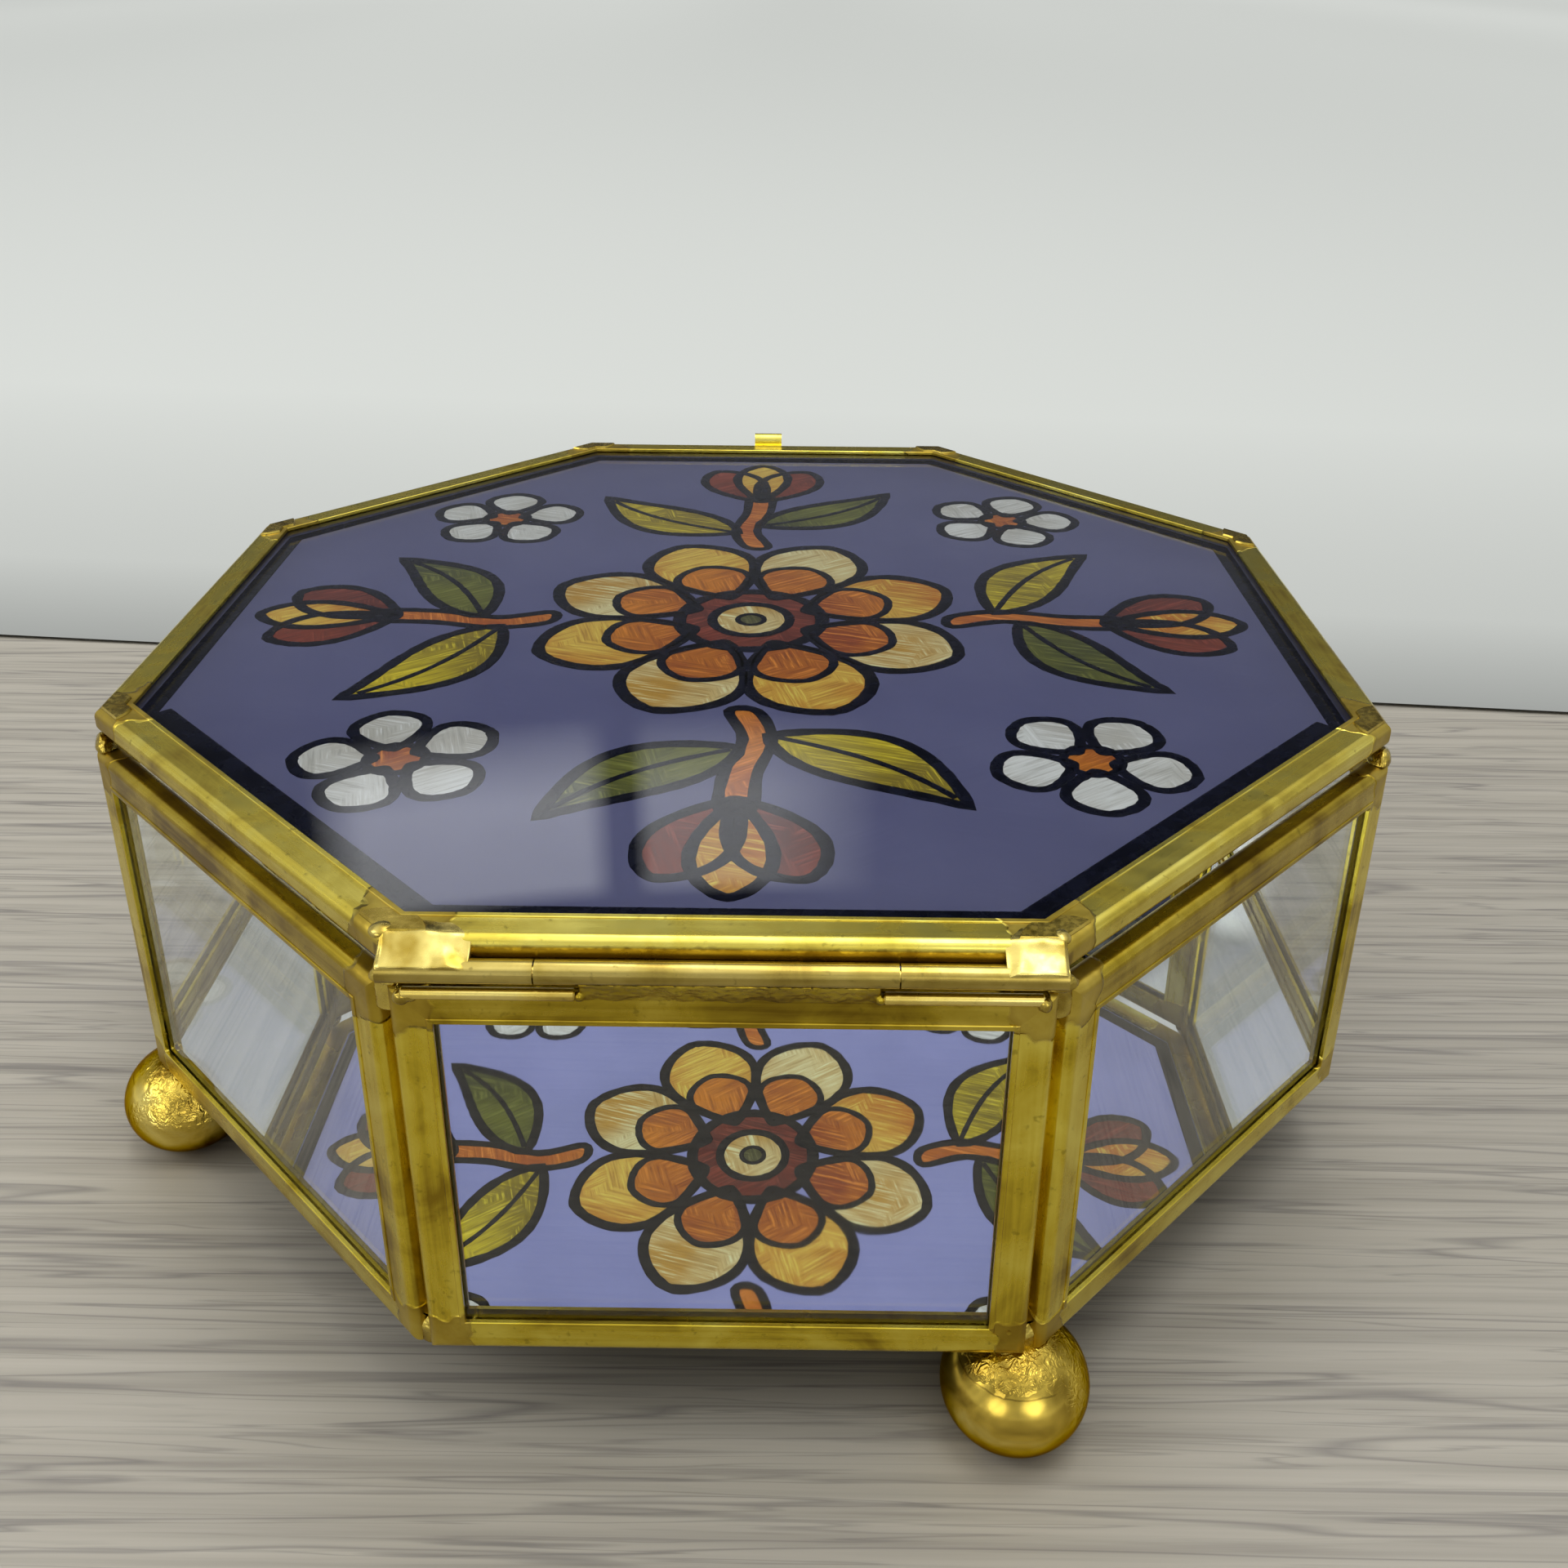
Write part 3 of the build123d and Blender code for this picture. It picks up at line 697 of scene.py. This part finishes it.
def section(tongue, first_turn):
    """Points of the strip's section as ((y, z), outward direction, depth behind it)."""
    tube_steps, run_steps, bend_steps, tongue_steps = 12, 10, 6, 10
    skin = 0.15
    points = []
    for k in range(tube_steps):
        angle = first_turn + (touch - first_turn) * k / tube_steps
        points.append((on_arc(tube_middle, tube_radius, angle), angle, skin * mm))
    start, end = on_arc(tube_middle, tube_radius, touch), on_arc(bend_middle, bend_radius, touch)
    for k in range(run_steps):
        t = k / run_steps
        middle = [a + (b - a) * t for a, b in zip(start, end)]
        sag = math.sin(math.pi * t)
        points.append((on_arc(middle, -0.16 * mm * sag, touch), touch, (skin + 0.75 * sag) * mm))
    for k in range(bend_steps):
        angle = touch + (math.pi / 2 - touch) * k / bend_steps
        points.append((on_arc(bend_middle, bend_radius, angle), angle, skin * mm))
    for k in range(tongue_steps + 1):
        y = bend_middle[0] + tongue * k / tongue_steps
        points.append(((y, bend_middle[1] + bend_radius), math.pi / 2, skin * mm))
    return points


def eased(value):
    """0 to 1 with soft ends."""
    value = min(max(value, 0.0), 1.0)
    return value * value * (3 - 2 * value)


pit, pit_radius, pit_depth = Vector((-29.6, -73.1, 0)) * mm, 0.5 * mm, 0.45 * mm
stations = 60
verts, faces = [], []
for start_x, end_x, seed in ((-31.0 * mm, -22.6 * mm, 3.0), (31.0 * mm, 25.4 * mm, 8.0)):
    rows = []
    for i in range(stations + 1):
        t = i / stations
        x = start_x + (end_x - start_x) * t
        ragged = noise.noise(Vector((x * 450, seed, 0)))
        tongue = (2.1 + 0.7 * ragged) * mm * eased((1 - t) / 0.3) + 0.15 * mm
        first_turn = math.radians(146 + 9 * noise.noise(Vector((x * 330, seed, 4))))
        row = section(tongue, first_turn)
        upper, lower = [], []
        for j, ((y, z), angle, depth) in enumerate(row):
            along_row = j / (len(row) - 1)
            edge = eased(along_row / 0.2) * eased((1 - along_row) / 0.3)
            edge = edge * eased((1 - t) / (0.08 + 0.5 * along_row)) * eased(t / 0.06)
            lumps = 1 + 0.7 * noise.noise(Vector((x * 500, y * 500, z * 500 + seed)))
            height = (0.2 * lumps * edge + 0.02 * edge - 0.02) * mm
            off_pit = (Vector((x, y, 0)) - pit).length
            height -= pit_depth * max(0.0, 1 - (off_pit / pit_radius) ** 2)
            upper.append((x, y + height * math.cos(angle), z + height * math.sin(angle)))
            lower.append((x, y - depth * math.cos(angle), z - depth * math.sin(angle)))
        rows.append(upper + lower[::-1])
    first, count = len(verts), len(rows[0])
    for row in rows:
        verts += row
    for i in range(stations):
        for j in range(count):
            a, b = first + i * count + j, first + i * count + (j + 1) % count
            faces.append((a, b, b + count, a + count))
    faces.append(tuple(first + j for j in range(count))[::-1])
    faces.append(tuple(first + stations * count + j for j in range(count)))
mesh = bpy.data.meshes.new("hinge_tongues")
mesh.from_pydata(verts, [], faces)
shell = bmesh.new()
shell.from_mesh(mesh)
for x, width in ((-30.9 * mm, 1.3 * mm), (30.6 * mm, 0.9 * mm)):
    drop = Matrix.Translation((x, hinge_rail_low[1] + 1.5 * mm, hinge_rail_high[2] - 0.35 * mm))
    drop = drop @ Matrix.Diagonal((width, 1.15 * mm, 0.65 * mm, 1))
    bmesh.ops.create_icosphere(shell, subdivisions=3, radius=1.0, matrix=drop)
bmesh.ops.recalc_face_normals(shell, faces=shell.faces)
shell.to_mesh(mesh)
shell.free()
mesh.materials.append(hinge_solder)
for face in mesh.polygons:
    face.use_smooth = len(face.vertices) < 5
tongues = new_object("hinge_tongues", mesh)
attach(tongues, "lid")
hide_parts("lid_hinge_solder")
print("hinge tongues", len(faces), "faces")

# %% [markdown]
# ## The painted lid
# The picture on such a lid is made in three steps on the underside of the glass: dark relief
# lines are drawn, the cells between them are filled with brushed translucent colour, and a plain
# ground closes what is left. Here the pattern is a wreath: a rosette in the middle, four tulip
# sprays, four small blossoms and a border line. Each motif is a closed outline in
# millimetres. A constrained Delaunay triangulation cuts all outlines at their crossings and tells
# which of them cover each triangle, so every cell gets one colour and nothing lies double.

# %% Outlines of the motifs
glass_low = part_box("lid_glass")[0]
came_width = 4.0
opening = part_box("lid_rail_5")[1][1] / mm - came_width
wobble = random.Random(11)


def turned(points, degrees, shift):
    """Points turned about the origin and then shifted."""
    c, s = math.cos(math.radians(degrees)), math.sin(math.radians(degrees))
    return [(x * c - y * s + shift[0], x * s + y * c + shift[1]) for x, y in points]


def smooth_loop(points, steps):
    """A closed Catmull-Rom line through points."""
    line = []
    for i in range(len(points)):
        near = [points[(i + k) % len(points)] for k in (-1, 0, 1, 2)]
        for step in range(steps):
            t = step / steps
            first, last = -t + 2 * t**2 - t**3, t**3 - t**2
            weights = (first, 2 - 5 * t**2 + 3 * t**3, t + 4 * t**2 - 3 * t**3, last)
            line.append(tuple(sum(w * p[axis] for w, p in zip(weights, near)) / 2 for axis in (0, 1)))
    return line


def ring(radius, count=40):
    """A circle about the origin."""
    angles = [2 * math.pi * k / count for k in range(count)]
    return [(radius * math.cos(angle), radius * math.sin(angle)) for angle in angles]


def petal(near, far, width, steps=24):
    """A petal along +X with a round end, from its base to its tip."""
    line = []
    for k in range(steps + 1):
        t = (1 - math.cos(math.pi * k / steps)) / 2
        half = width / 2 * math.sin(math.pi * t**1.35) ** 0.6 if 0 < t < 1 else 0.0
        line.append((near + (far - near) * t, half))
    return line + [(x, -y) for x, y in line[-2:0:-1]]


def leaf(length, width, bend, steps=22):
    """A pointed leaf along +X whose spine bends to one side, and that spine."""
    spine, upper, lower = [], [], []
    for k in range(steps + 1):
        x, y = length * k / steps, bend * math.sin(math.pi * k / steps / 1.25)
        half = width / 2 * math.sin(math.pi * (k / steps) ** 0.85) * (1 - 0.25 * k / steps)
        spine.append((x, y))
        upper.append((x, y + half))
        lower.append((x, y - half))
    return upper + lower[-2:0:-1], spine[1:-2]


cells = []
lines = []


def cell(outline, colour, width):
    """A filled cell with its relief line."""
    cells.append((outline, colour))
    lines.append((outline, True, width))


def stroke(points, width):
    """A relief line on its own."""
    lines.append((points, False, width))


rosette_at = (0, 0.6)
for k in range(8):
    heading = 45 * k + 22.5
    tip_colour = "ivory" if k % 2 else "golden"
    cell(turned(petal(8.0, 29.0, 15.5), heading, rosette_at), tip_colour, 1.7)
    cells.append((turned(petal(8.0, 20.0, 10.5), heading, rosette_at), "amber"))
    stroke(turned(petal(8.0, 20.0, 10.5)[6:-5], heading, rosette_at), 1.2)
cell(turned(ring(9.6), 0, rosette_at), "rust", 1.8)
cell(turned(ring(5.2), 0, rosette_at), "ivory", 1.4)
cell(turned(ring(1.8, 16), 0, rosette_at), "olive", 0.8)

stem_points = [(27, 1.7), (34, 3.6), (42, 2.1), (50, 1.6), (50, -1.6), (42, -1.6), (34, 0.2), (27, -1.7)]
stem = smooth_loop(stem_points, 5)
leaves = (
    (leaf(27, 12.5, 3.5), 50, (33, 3), "leaf_yellow"),
    (leaf(26, 11.5, -3.5), -48, (36, 0), "leaf_olive"),
)
for k in range(4):
    heading = 90 * k
    for (outline, vein), turn, base, colour in leaves:
        cell(turned(turned(outline, turn, base), heading, rosette_at), colour, 1.6)
        stroke(turned(turned(vein, turn, base), heading, rosette_at), 0.9)
    cell(turned(stem, heading, rosette_at), "orange", 1.4)
    for turn in (27, -27):
        cell(turned(turned(petal(0, 17, 9.5), turn, (47.5, 0)), heading, rosette_at), "rust", 1.5)
    cell(turned(turned(petal(0, 18.0, 8.5), 0, (48, 0)), heading, rosette_at), "golden", 1.5)

    blossom_at = turned([(55, 0)], heading + 46, rosette_at)[0]
    for j in range(5):
        cell(turned(petal(2.4, 11.5, 8.4), heading + 72 * j, blossom_at), "white", 1.4)
    cell(turned(ring(3.3, 24), 0, blossom_at), "amber", 1.2)


def octagon(inset):
    """The lid's opening as an octagon, drawn in by an inset."""
    border = []
    for k in range(sides):
        heading = side_turn * (k + 0.5)
        reach = opening / math.cos(side_turn / 2)
        border.append((reach * math.cos(heading), reach * math.sin(heading)))
    return [(x * (1 - inset / opening), y * (1 - inset / opening)) for x, y in border]


border_width = 2.4
ground_lap = 2.2
cells.insert(0, (octagon(-ground_lap), "ground"))
print("cells", len(cells), "lines", len(lines))

# %% [markdown]
# ## Brushed colour
# The fills are brushed on, so each cell shows fine strokes that change direction from place to
# place. A noise that is stretched nearly twentyfold gives strokes. Three of them lie in three
# directions, and a slow noise chooses between them. Paint this thin glows when light comes from
# behind, as it does in the mirror, so half of it is a Translucent shader, and more of the plain
# ground, which is thinnest.

# %% Paint finishes
def paint(name, pale, deep, stroke_depth=0.8, glowing=0.5):
    """Translucent brushed paint on the underside of the lid's glass. glowing is how much light it
    passes on."""
    finish, tree = new_finish(name)
    where = place(tree)
    choice = cloud(tree, where, 75.0, detail=1.0)
    strokes = 0.5
    for slope, low, high in ((0.3, 0.0, 0.1), (1.3, 0.45, 0.48), (-0.6, 0.52, 0.55)):
        inputs = {"Vector": where, "Angle": slope}
        angled = node(tree, "VectorRotate", inputs, rotation_type="Z_AXIS").outputs[0]
        drawn_out = stretched(tree, (130, 2400, 300), where=angled)
        hairs = cloud(tree, drawn_out, 1.0, detail=4.0, roughness=0.65, distortion=0.3)
        change = sum_of(tree, "SUBTRACT", hairs, strokes)
        strokes = added(tree, strokes, times(tree, change, span(tree, choice, low, high)))
    shade = cloud(tree, where, 70.0, detail=2.0)
    wash = blended(tree, span(tree, shade, 0.35, 0.65), deep, pale)
    bright = tuple(min(1.0, c * 1.5 + 0.03) for c in pale)
    dark = tuple(c * 0.6 for c in deep)
    colour = blended(tree, span(tree, strokes, 0.52, 0.66, 0.0, stroke_depth), wash, bright)
    colour = blended(tree, span(tree, strokes, 0.48, 0.34, 0.0, stroke_depth * 0.7), colour, dark)
    inputs = {"Base Color": colour, "Roughness": 0.5, "Normal": bumped(tree, strokes, 0.03 * mm)}
    body = node(tree, "BsdfPrincipled", inputs).outputs[0]
    glow = node(tree, "BsdfTranslucent", {"Color": colour}).outputs[0]
    finish_with(tree, "MixShader", {0: glowing, 1: body, 2: glow})
    return finish


paints = {"ground": paint("ground_paint", srgb(131, 133, 182), srgb(125, 127, 176), 0.04, 0.8)}
for colour, pale, deep in (
    ("ivory", (238, 222, 164), (206, 156, 62)),
    ("white", (238, 238, 236), (204, 200, 192)),
    ("golden", (236, 192, 78), (200, 116, 14)),
    ("amber", (214, 126, 18), (150, 62, 6)),
    ("orange", (214, 126, 36), (176, 84, 16)),
    ("rust", (134, 48, 22), (92, 26, 14)),
    ("leaf_yellow", (214, 190, 26), (138, 118, 12)),
    ("leaf_olive", (106, 108, 26), (58, 62, 16)),
    ("olive", (92, 90, 44), (64, 64, 34)),
):
    paints[colour] = paint(colour + "_paint", srgb(*pale), srgb(*deep))
print("paints", sorted(paints))

# %% Cut the cells and lay the paint
relief_height = 0.14 * mm
paint_top = glass_low[2] - relief_height / 2 - 0.01 * mm
corners, faces = [], []
for outline, colour in cells:
    doubled_area = sum(a[0] * b[1] - b[0] * a[1] for a, b in zip(outline, outline[1:] + outline[:1]))
    if doubled_area < 0:
        outline = outline[::-1]
    first = len(corners)
    corners += [Vector(point) for point in outline]
    faces.append(list(range(first, first + len(outline))))
flat_corners, _, triangles, _, _, owners = delaunay_2d_cdt(corners, [], faces, 1, 1e-5, True)

paint_names = list(paints)
mesh = bpy.data.meshes.new("lid_paint")
mesh.from_pydata([(x * mm, y * mm, paint_top) for x, y in flat_corners], [], triangles)
for face, covering in zip(mesh.polygons, owners):
    face.material_index = paint_names.index(cells[max(covering)][1])
for name in paint_names:
    mesh.materials.append(paints[name])
lid_paint = new_object("lid_paint", mesh)
print("paint triangles", len(triangles))

# %% [markdown]
# ## Relief lines
# The dark lines are squeezed from a tube and stand up from the glass as flat beads. That is a
# profile carried along a path, which is what Geometry Nodes do well: the paths come in as mesh
# edges, become curves, and a flattened circle is swept along them. The line's width is stored on
# each path, so one tree draws the heavy outlines and the fine veins. The border has a second line
# along its three near sides, where it was laid on thicker.

# %% Relief line tree
def relief_tree():
    """Geometry nodes that sweep a flattened bead along mesh edges."""
    tree = bpy.data.node_groups.new("relief_lines", "GeometryNodeTree")
    for label, kind in (("Geometry",) * 2, ("Line height", "Float"), ("Line material", "Material")):
        tree.interface.new_socket(label, in_out="INPUT", socket_type="NodeSocket" + kind)
    tree.interface.new_socket("Geometry", in_out="OUTPUT", socket_type="NodeSocketGeometry")
    entry = node(tree, "NodeGroupInput").outputs
    inputs = {"Name": "line_width"}
    width = node(tree, "GeometryNodeInputNamedAttribute", inputs, data_type="FLOAT").outputs["Attribute"]

    curve = node(tree, "GeometryNodeMeshToCurve", {"Mesh": entry["Geometry"]}).outputs[0]
    level = node(tree, "GeometryNodeSetCurveNormal", {"Curve": curve}, mode="Z_UP").outputs[0]
    inputs = {"Curve": level, "Radius": times(tree, width, 0.5)}
    sized = node(tree, "GeometryNodeSetCurveRadius", inputs).outputs[0]
    circle = node(tree, "GeometryNodeCurvePrimitiveCircle", {"Resolution": 10, "Radius": 1.0})
    inputs = {"Curve": sized, "Profile Curve": circle.outputs["Curve"], "Fill Caps": True}
    inputs["Scale"] = node(tree, "GeometryNodeInputRadius").outputs[0]
    swept = node(tree, "GeometryNodeCurveToMesh", inputs).outputs[0]

    position = node(tree, "GeometryNodeInputPosition").outputs[0]
    x, y, z = node(tree, "SeparateXYZ", {"Vector": position}).outputs
    flatness = sum_of(tree, "DIVIDE", entry["Line height"], width)
    flattened = node(tree, "CombineXYZ", {"X": x, "Y": y, "Z": times(tree, z, flatness)}).outputs[0]
    inputs = {"Geometry": swept, "Position": flattened}
    bead = node(tree, "GeometryNodeSetPosition", inputs).outputs[0]
    whole = node(tree, "GeometryNodeRealizeInstances", {"Geometry": bead}).outputs[0]
    inputs = {"Geometry": whole, "Material": entry["Line material"]}
    inked = node(tree, "GeometryNodeSetMaterial", inputs).outputs[0]
    node(tree, "NodeGroupOutput", {"Geometry": inked})
    return tree


def baked(source, name, tree, settings):
    """Runs a tree on an object and gives the result as a plain mesh object."""
    modifier = source.modifiers.new("tree", "NODES")
    modifier.node_group = tree
    inputs = {item.name: item for item in tree.interface.items_tree if item.in_out == "INPUT"}
    for label, value in settings.items():
        modifier[inputs[label].identifier] = value
    result = evaluated_mesh(source)
    result.name = name
    source.modifiers.remove(modifier)
    bpy.data.objects.remove(source)
    return new_object(name, result)


ink, tree = new_finish("relief_ink")
unevenness = cloud(tree, place(tree), 500.0, detail=3.0)
colour = ramp(tree, unevenness, [(0.3, srgb(4, 5, 15)), (0.7, srgb(12, 14, 30))])
rough = span(tree, unevenness, 0.3, 0.7, 0.18, 0.35)
inputs = {"Base Color": colour, "Roughness": rough, "Specular IOR Level": 0.03}
inputs["Normal"] = bumped(tree, unevenness, 0.05 * mm)
finish_with(tree, "BsdfPrincipled", inputs)

near_extra = 1.5
lines.append((octagon(border_width / 2), True, border_width))
lines.append((octagon(border_width / 2 + near_extra)[4:8], False, border_width))
points, edges, widths = [], [], []
for path, closed, width in lines:
    first = len(points)
    for x, y in path:
        points.append((x * mm, y * mm, 0))
        widths.append(width * mm * (1 + wobble.uniform(-0.1, 0.1)))
    edges += [(first + i, first + i + 1) for i in range(len(path) - 1)]
    if closed:
        edges.append((first + len(path) - 1, first))
mesh = bpy.data.meshes.new("line_paths")
mesh.from_pydata(points, edges, [])
attribute = mesh.attributes.new("line_width", "FLOAT", "POINT")
attribute.data.foreach_set("value", widths)
paths = new_object("line_paths", mesh)
settings = {"Line height": relief_height, "Line material": ink}
relief = baked(paths, "relief_lines", relief_tree(), settings)
glass_gap = 0.005 * mm
lift = glass_low[2] - glass_gap - max(vertex.co.z for vertex in relief.data.vertices)
relief.data.transform(Matrix.Translation((0, 0, lift)))
for face in relief.data.polygons:
    face.use_smooth = True
lowest = min(vertex.co.z for vertex in relief.data.vertices)
print("relief", len(relief.data.polygons), "faces, lowest at", round(lowest / mm, 3), "mm")

for piece in (lid_paint, relief):
    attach(piece, "lid")
